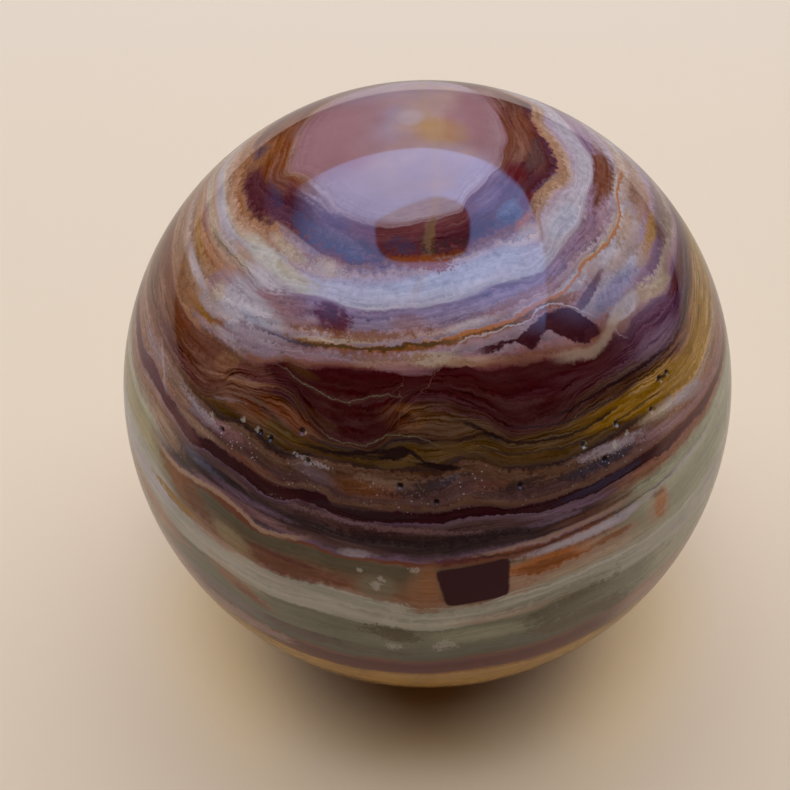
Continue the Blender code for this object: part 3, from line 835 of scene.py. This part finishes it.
BROKEN_BED = ("wine", 0.7)
BROKEN_TOP_EDGE = (-0.2, 0.2)
BROKEN_FOOT_EDGE = (-0.25, 0.2)
BROKEN_LEFT = (8, 14)
BROKEN_RIGHT = (39, 41)

# The dark block in the green bed: its longitude, its degrees from the top, its half sizes and its tilt. It
# narrows downwards, and its corners are a little rounded.
BLOCK = (7.4, 76.9, 5.4, 3.75, math.radians(-6))
BLOCK_COLOUR = ("wine", 0.6)
BLOCK_TAPER = 0.1
BLOCK_SQUARENESS = 10
BLOCK_EDGE = (0.5, 1.4)

# How strongly the laminations, and the fine threads in them, show by depth, and how ragged the contacts are.
LAMINATION = [
    (0, 0.0), (17, 0.05), (21, 0.5), (28, 0.45), (31, 0.25), (34, 0.35), (38, 0.5), (43, 0.3), (45, 0.7),
    (47, 0.6), (49, 1.0), (52, 0.95), (54.5, 0.7), (57, 0.7), (59, 0.6), (64, 0.35), (67, 0.5), (74, 0.25),
    (82, 0.32), (88, 0.25), (97, 0.25), (112, 0.3), (180, 0.5),
]
THREADS = [
    (0, 0.0), (19, 0.0), (22, 0.4), (28, 0.4), (31, 0.15), (35, 0.35), (43, 0.3), (45, 0.7), (50, 0.95),
    (52, 0.9), (54.5, 0.6), (57, 0.6), (60, 0.4), (64, 0.3), (66, 0.5), (71, 0.3), (75, 0.08), (81, 0.2),
    (87, 0.1), (96, 0.1), (112, 0.1), (180, 0.2),
]
RAGGEDNESS = [
    (0, 0.2), (19, 0.15), (21, 0.2), (25, 0.7), (27.5, 1.0), (29.5, 0.7), (33, 0.35), (37, 0.7), (40, 0.9),
    (43, 0.35), (55, 0.2), (58, 0.8), (63, 0.5), (70, 0.25), (90, 0.25), (100, 0.3), (180, 0.3),
]
LAMINATION_DEPTH = 3
THREAD_DEPTH = 2.6
BRIGHTEST_STREAK = 0.4
DARKEST = 0.15
WAVE_LIGHT = 0.4
MOTTLING = 0.65
MOTTLED_FROM = (14, 24)
MOTTLED_TO = (66, 76, 1, 0.35)
FULLNESS = 1.06
FULLNESS_LOSS = 0.5

POLISH = 0.05
STONE_IOR = 1.52

# Tiny pale specks in the crystalline bed.
SPECKS_FINE = 75.0
SPECK_EDGE = (0.08, 0.22)
SPECK_BED_TOP = (57.2, 59)
SPECK_BED_FOOT = (63, 64.5, 0.8)
SPECK_CLUSTERS = (-0.08, 0.1)
SPECK_DRIFT = 0.5


def spread(turn):
    """Longitude as 0 to 1, with more of it for the front."""
    if isinstance(turn, Wire):
        middle = turn.math("MINIMUM", turn.math("MAXIMUM", turn, -FRONT_SPAN), FRONT_SPAN)
    else:
        middle = min(max(turn, -FRONT_SPAN), FRONT_SPAN)
    front = FRONT_SHARE / (2 * FRONT_SPAN)
    back = (1 - FRONT_SHARE) / (2 * HALF_TURN - 2 * FRONT_SPAN)
    return middle * front + (turn - middle) * back + 0.5


def colour(name, lightness=1):
    return tuple(min(part * lightness, 1) for part in PALETTE[name])


def place_tool():
    """Where a point lies: its direction from the ball's centre, its longitude and its angle from the top."""
    tool = Tool("place_on_ball", [])
    x, y, z = tool.object_axes()
    scale = 1 / BALL_RADIUS
    x, y, z = x * scale, y * scale, tool.scaled(z, scale, -CENTRE.z * scale)
    polar = tool.math("DEGREES", tool.math("ARCCOSINE", z))
    turn = tool.math("DEGREES", tool.math("ARCTAN2", x, -y))
    tool.give({"polar": polar, "turn": turn})
    return tool


def patch_tool():
    """Paints one oval patch with a ragged edge over the colours under it."""
    tool = Tool("patch", ["Across", "Down", "Ragged", "At Across", "At Down", "Half Width", "Half Height",
                          "Tilt", "Edge", "Share"], ["Under", "Colour"])
    across, down, ragged, at_across, at_down, *shape, under, top = tool.given
    half_width, half_height, tilt, edge, share = shape
    tilt = tool.math("RADIANS", tilt)
    cosine, sine = tool.math("COSINE", tilt), tool.math("SINE", tilt)
    along, along_down = cosine / half_width, sine / half_width
    over, over_down = -sine / half_height, cosine / half_height
    along_shift = -(at_across * along + at_down * along_down)
    over_shift = -(at_across * over + at_down * over_down)
    wide = tool.scaled(across, along, tool.scaled(down, along_down, along_shift))
    high = tool.scaled(across, over, tool.scaled(down, over_down, over_shift))
    far = tool.scaled(high, high, tool.scaled(wide, wide, ragged))
    cover = tool.fall(far, 1 - edge, 1 + edge, share)
    tool.give({"Result": tool.mix(cover, under, top)}, "NodeSocketColor")
    return tool


def line_tool():
    """Paints a thin line over the colours under it, given how far the point is from the line's middle."""
    tool = Tool("line", ["Off", "Along", "Start", "End", "Fade", "Half Width", "Share"], ["Under", "Colour"])
    off, along, start, end, fade, half_width, share, under, top = tool.given
    core, edge = LINE_EDGE
    near = tool.fall(tool.math("ABSOLUTE", off), half_width * core, half_width * edge, share)
    near = near * tool.rise(along, start - fade, start + fade)
    near = near * tool.fall(along, end - fade, end + fade)
    tool.give({"Result": tool.mix(near, under, top)}, "NodeSocketColor")
    return tool


class Stone(Finish):
    """The onyx: where a point lies on the ball, in which bed, and what the stone shows there."""

    def __init__(self):
        super().__init__("onyx")
        self.patch = patch_tool()
        self.line = line_tool()
        position = self.node("ShaderNodeTexCoord", output=3)
        scale = 1 / BALL_RADIUS
        sockets = {"Vector": position, "Location": tuple(-CENTRE * scale), "Scale": (scale, scale, scale)}
        self.place = self.node("ShaderNodeMapping", None, sockets)
        place = place_tool().use(self).socket.node
        self.polar, self.turn = (Wire(self, place.outputs[name]) for name in ("polar", "turn"))
        self.noises = {name: self.noise(*look) for name, look in NOISES.items()}
        behind = self.rise(self.math("ABSOLUTE", self.turn), *FOLDED_FROM)
        self.bent = self.shaken(self.polar, BEND) + self.noises["fold"] * behind * FOLD_BEHIND
        depth = self.bed_depth()
        ragged = self.by_depth(depth, RAGGEDNESS) * self.noises["grit"]
        self.depth = ragged * RAGGED_CONTACT + depth
        for name, (*look, change) in BED_NOISES.items():
            self.noises[name] = self.noise(*look, self.depth * change)

    def noise(self, scale, detail, roughness, layer=None):
        """Noise about zero, within a half either way, which may also change from one layer to the next."""
        settings = {"noise_dimensions": "3D" if layer is None else "4D"}
        sockets = {"Vector": self.place, "Scale": scale, "Detail": detail, "Roughness": roughness}
        if layer is not None:
            sockets["W"] = layer
        return self.node("ShaderNodeTexNoise", settings, sockets) - 0.5

    def shaken(self, value, amounts):
        """The value, moved by so much of each noise."""
        for name, amount in amounts.items():
            value = value + self.noises[name] * amount
        return value

    def curve(self, value, points):
        """A curve through points whose values and heights all lie between 0 and 1."""
        wire = self.node("ShaderNodeFloatCurve", None, {"Value": value})
        mapping = wire.socket.node.mapping
        line = mapping.curves[0]
        for _ in points[2:]:
            line.points.new(0.5, 0.5)
        for knot, (across, height) in zip(line.points, points):
            knot.location = (across, height)
            knot.handle_type = "AUTO_CLAMPED"
        mapping.update()
        return wire

    def path(self, along, span, knots):
        """How far down or across a line runs, by how far along it the point is, both in degrees."""
        low, high = span
        points = [((first - low) / (high - low), second / HALF_TURN + 0.5) for first, second in knots]
        fraction = self.scaled(along, 1 / (high - low), -low / (high - low))
        return self.scaled(self.curve(fraction, points), HALF_TURN, -HALF_TURN / 2)

    def by_depth(self, depth, points):
        return self.curve(depth * (1 / HALF_TURN), [(at / HALF_TURN, height) for at, height in points])

    def ramp(self, span, stops):
        """The colour at a bed's depth within the span, from stops of depth, colour name and lightness."""
        start, end = span
        fraction = self.scaled(self.depth, 1 / (end - start), -start / (end - start))
        wire = self.node("ShaderNodeValToRGB", None, {0: fraction})
        elements = wire.socket.node.color_ramp.elements
        for _ in stops[2:]:
            elements.new(1.0)
        for element, (depth, *look) in zip(elements, stops):
            element.position = (depth - start) / (end - start)
            element.color = (*colour(*look), 1)
        return wire

    def bed_depth(self):
        """The depth in front of the bed that this point belongs to."""
        across = spread(self.turn)
        top, top_depth, depth = 0, 0, 0
        for foot_depth, knots in CONTACTS.values():
            points = [(spread(longitude), at / HALF_TURN) for longitude, at in knots]
            foot = self.curve(across, points) * HALF_TURN
            thickness = foot_depth - top_depth
            within = self.map(self.bent, top, foot, 0, thickness, "LINEAR")
            depth = self.math("MINIMUM", self.math("MAXIMUM", within, 0), thickness) + depth
            top, top_depth = foot, foot_depth
        below = self.map(self.bent, top, HALF_TURN, 0, HALF_TURN - top_depth, "LINEAR")
        return self.math("MAXIMUM", below, 0) + depth

    def beds(self):
        """The front's colours, giving way to the left's and the right's, and back again behind."""
        turn = self.turn + self.noises["drift"] * SIDE_DRIFT
        base = self.ramp(BASE_BEDS, BASE)
        back_left = self.rise(turn, *BACK_LEFT)
        back_right = self.fall(turn, *BACK_RIGHT)
        for span, to_left, to_right, front, left, right in BED_PARTS:
            on_left = self.fall(turn, *to_left) * back_left
            on_right = self.rise(turn, *to_right) * back_right
            side = self.mix(on_left, self.ramp(span, front), self.ramp(span, left))
            side = self.mix(on_right, side, self.ramp(span, right))
            within = self.math("COMPARE", self.depth, (span[0] + span[1]) / 2, (span[1] - span[0]) / 2)
            base = self.mix(within, base, side)
        return base

    def paint_patches(self, base, across, down, patches, ragged, edge):
        for name, at_across, at_down, half_width, half_height, share, *tilt in patches:
            base = self.patch.use(
                self, Across=across, Down=down, Ragged=ragged, At_Across=at_across, At_Down=at_down,
                Half_Width=half_width, Half_Height=half_height, Tilt=tilt[0] if tilt else 0, Edge=edge,
                Share=share, Under=base, Colour=colour(name))
        return base

    def paint_lines(self, base, along, across, lines, span, fade):
        """Thin lines that follow a curve, and fade out past its two ends."""
        for name, half_width, share, knots in lines:
            off = across - self.path(along, span, knots)
            base = self.line.use(
                self, Off=off, Along=along, Start=knots[0][0], End=knots[-1][0], Fade=fade,
                Half_Width=half_width, Share=share, Under=base, Colour=colour(name))
        return base

    def paint_broken_bed(self, base):
        """The broken dark bed on the right, between its top and its foot."""
        whole_turn = (-HALF_TURN, HALF_TURN)
        top, foot = (self.path(self.turn, whole_turn, knots) for knots in (BROKEN_TOP, BROKEN_FOOT))
        edge = self.shaken(self.bent, BROKEN_SHAKE)
        inside = self.rise(edge - top, *BROKEN_TOP_EDGE) * self.fall(edge - foot, *BROKEN_FOOT_EDGE)
        inside = inside * self.rise(self.turn, *BROKEN_LEFT) * self.fall(self.turn, *BROKEN_RIGHT)
        return self.mix(inside, base, colour(*BROKEN_BED))

    def laminate(self, base):
        """Makes the beds lighter and darker in sheets and threads, and purer where they are darker."""
        sheets, threads = self.noises["sheets"], self.noises["threads"]
        streaks = sheets * self.by_depth(self.depth, LAMINATION) * LAMINATION_DEPTH
        streaks = streaks + threads * self.by_depth(self.depth, THREADS) * THREAD_DEPTH
        streaks = self.math("MINIMUM", streaks, BRIGHTEST_STREAK)
        mottled = self.rise(self.depth, *MOTTLED_FROM) * self.map(self.depth, *MOTTLED_TO)
        mottling = (self.noises["grain"] + self.noises["grit"]) * mottled
        lightness = streaks + self.noises["wave"] * WAVE_LIGHT + mottling * MOTTLING + 1
        lightness = self.math("MAXIMUM", lightness, DARKEST)
        fullness = FULLNESS - streaks * FULLNESS_LOSS
        return self.node("ShaderNodeHueSaturation", None, {1: fullness, 2: lightness, 4: base})

    def paint_block(self, base):
        """The square block, whose sides are nearly straight."""
        at_across, at_down, half_width, half_height, tilt = BLOCK
        cosine, sine = math.cos(tilt), math.sin(tilt)
        right = self.shaken(self.turn, BLOCK_SHAKE[0]) - at_across
        below = self.shaken(self.polar, BLOCK_SHAKE[1]) - at_down
        wide = (right * cosine + below * sine) * (1 / half_width)
        high = (below * cosine - right * sine) * (1 / half_height)
        wide = wide * self.scaled(high, BLOCK_TAPER, 1)
        wide, high = (self.math("ABSOLUTE", side) ** BLOCK_SQUARENESS for side in (wide, high))
        return self.mix(self.fall(wide + high, *BLOCK_EDGE), base, colour(*BLOCK_COLOUR))

    def paint_specks(self, base):
        """Tiny pale specks, in clusters, in the crystalline bed."""
        cells = {"Vector": self.place, "Scale": SPECKS_FINE}
        speck = self.node("ShaderNodeTexVoronoi", None, cells)
        cluster = self.noises["wave"] + self.noises["drift"] * SPECK_DRIFT
        where = self.rise(self.depth, *SPECK_BED_TOP) * self.fall(self.depth, *SPECK_BED_FOOT)
        where = where * self.rise(cluster, *SPECK_CLUSTERS)
        return self.mix(self.fall(speck, *SPECK_EDGE) * where, base, colour("pearl"))


def onyx():
    """The polished stone: its beds, then all that is painted over them, from the softest to the finest."""
    stone = Stone()
    polar, turn, bent = stone.polar, stone.turn, stone.bent
    base = stone.beds()
    across, down = stone.shaken(turn, ACROSS), stone.shaken(polar, DOWN)
    to_right = polar * stone.math("SINE", stone.math("RADIANS", turn))
    to_front = polar * stone.math("COSINE", stone.math("RADIANS", turn))
    clouds = stone.shaken(0, CLOUDS)
    cap_clouds = stone.shaken(0, CAP_CLOUDS)
    base = stone.paint_patches(base, to_right, to_front, CAP_PATCHES, cap_clouds, CAP_EDGE)
    base = stone.paint_patches(base, across, down, SOFT_PATCHES, clouds, SOFT_EDGE)
    base = stone.laminate(stone.paint_broken_bed(base))
    beside = stone.shaken(to_right, VEIN_SHAKE)
    base = stone.paint_lines(base, to_front, beside, CAP_VEINS, VEIN_SPAN, VEIN_FADE)
    base = stone.paint_patches(base, across, down, SHARP_PATCHES, clouds * SHARP_CLOUDS, SHARP_EDGE)
    along, beside = turn + stone.noises["wave"], stone.shaken(bent, LINE_SHAKE)
    base = stone.paint_lines(base, along, beside, LINES, LINE_SPAN, LINE_FADE)
    beside = stone.shaken(turn, CRACK_SHAKE)
    base = stone.paint_lines(base, bent, beside, CRACKS, CRACK_SPAN, CRACK_FADE)
    base = stone.paint_block(base)
    grains = stone.shaken(0, GRAINY) + stone.noise(*FINEST) * FINEST_SHARE
    base = stone.paint_patches(base, across, down, GRAINS, grains, GRAIN_EDGE)
    # Frosty white spots, and painted glints where they sit on the pits.
    name, wider, share = FROST_AND_GLINT_LOOK
    frost_and_glints = [(name, longitude, at, size * wider, size, share) for longitude, at, size in FROST_AND_PIT_GLINTS]
    base = stone.paint_patches(base, across, down, frost_and_glints, grains, FROST_AND_GLINT_EDGE)
    # Painted shade inside the pits.
    name, size, share = PIT_SHADE
    pit_shades = [(name, longitude, at, size, size, share) for longitude, at, _ in PITS]
    base = stone.paint_patches(base, turn, polar, pit_shades, stone.shaken(0, PIT_RAGGED), PIT_EDGE)
    stone.set(Base_Color=stone.paint_specks(base), Roughness=POLISH, IOR=STONE_IOR)
    return stone


# The pits in the polish: longitude, degrees down from the top, and how far from its middle a pit reaches.
PITS = [
    (28, 58, 0.00045), (35.5, 57.3, 0.0004), (48.6, 55.6, 0.00045), (51, 55.7, 0.00035), (44, 58.8, 0.0004),
    (-22.8, 54.4, 0.0004), (-28.4, 57.1, 0.0004), (-30.6, 56.8, 0.0003), (-20.8, 58.5, 0.00045),
    (15.5, 61.1, 0.0004), (31.5, 61.6, 0.0004), (-4.5, 59.8, 0.00035), (-38.5, 59.6, 0.00035),
    (1.5, 62.2, 0.0003),
]
PIT_DEPTH = 0.0003
PIT_SURROUNDINGS = 0.0011
PIT_CUTS = 5
BALL_SEGMENTS = 256
BALL_RINGS = 128
RIM_EASE = 0.0003
RIM_CUTS = 2
ON_TABLE = 1e-6
SMOOTH_ANGLE = math.radians(40)


def on_the_ball(longitude, polar):
    """A place on the surface, from the ball's centre."""
    around, down = math.radians(longitude), math.radians(polar)
    out = Vector((math.sin(down) * math.sin(around), -math.sin(down) * math.cos(around), math.cos(down)))
    return out * BALL_RADIUS


def select_faces(stone, wanted):
    """Selects the faces whose middles pass the test, and goes on in edit mode."""
    bpy.ops.mesh.select_mode(type="FACE")
    bpy.ops.mesh.select_all(action="DESELECT")
    bpy.ops.object.mode_set(mode="OBJECT")
    for face in stone.data.polygons:
        face.select = wanted(face.center)
    bpy.ops.object.mode_set(mode="EDIT")


def finish_with(thing, kind, **settings):
    """Adds a modifier and applies it."""
    bpy.ops.object.modifier_add(type=kind)
    modifier = thing.modifiers[-1]
    for name, value in settings.items():
        setattr(modifier, name, value)
    bpy.ops.object.modifier_apply(modifier=modifier.name)


def sink_pits(stone):
    """Small pits: finer faces where they come, drawn back to the round, then pressed in."""
    places = [on_the_ball(longitude, polar) for longitude, polar, _ in PITS]
    bpy.ops.object.mode_set(mode="EDIT")
    select_faces(stone, lambda middle: any((middle - place).length < PIT_SURROUNDINGS for place in places))
    bpy.ops.mesh.subdivide(number_cuts=PIT_CUTS)
    bpy.ops.object.mode_set(mode="OBJECT")
    finish_with(stone, "CAST", cast_type="SPHERE", factor=1, radius=0, size=BALL_RADIUS)
    pits = stone.vertex_groups.new(name="pits")
    for place, (_, _, reach) in zip(places, PITS):
        for corner in stone.data.vertices:
            near = (corner.co - place).length / reach
            if near < 1:
                pits.add([corner.index], (1 - near * near) ** 0.5, "REPLACE")
    finish_with(stone, "DISPLACE", vertex_group=pits.name, strength=-PIT_DEPTH, mid_level=0)


def grind_flat(stone):
    """The small flat underneath, with an eased rim."""
    bpy.ops.object.mode_set(mode="EDIT")
    bpy.ops.mesh.select_all(action="SELECT")
    table = {"plane_co": (0, 0, 0), "plane_no": (0, 0, 1)}
    bpy.ops.mesh.bisect(**table, use_fill=True, clear_inner=True, threshold=ON_TABLE)
    select_faces(stone, lambda middle: middle.z < ON_TABLE)
    bpy.ops.mesh.bevel(offset=RIM_EASE, segments=RIM_CUTS, affect="EDGES")
    bpy.ops.object.mode_set(mode="OBJECT")


def ball():
    bpy.ops.mesh.primitive_uv_sphere_add(
        segments=BALL_SEGMENTS, ring_count=BALL_RINGS, radius=BALL_RADIUS, location=CENTRE)
    stone = bpy.context.active_object
    stone.name = "stone"
    sink_pits(stone)
    bpy.ops.object.transform_apply(location=True, rotation=False, scale=False)
    grind_flat(stone)
    bpy.ops.object.shade_smooth_by_angle(angle=SMOOTH_ANGLE)
    stone.data.materials.append(onyx().material)
    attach(stone, "root")
    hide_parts(NODE)


bpy.context.scene.view_settings.view_transform = "Standard"
bpy.ops.object.select_all(action="DESELECT")
photo_camera()
diffuse_lights()
paper_table()
overhead_panel()
shade_card()
ball()
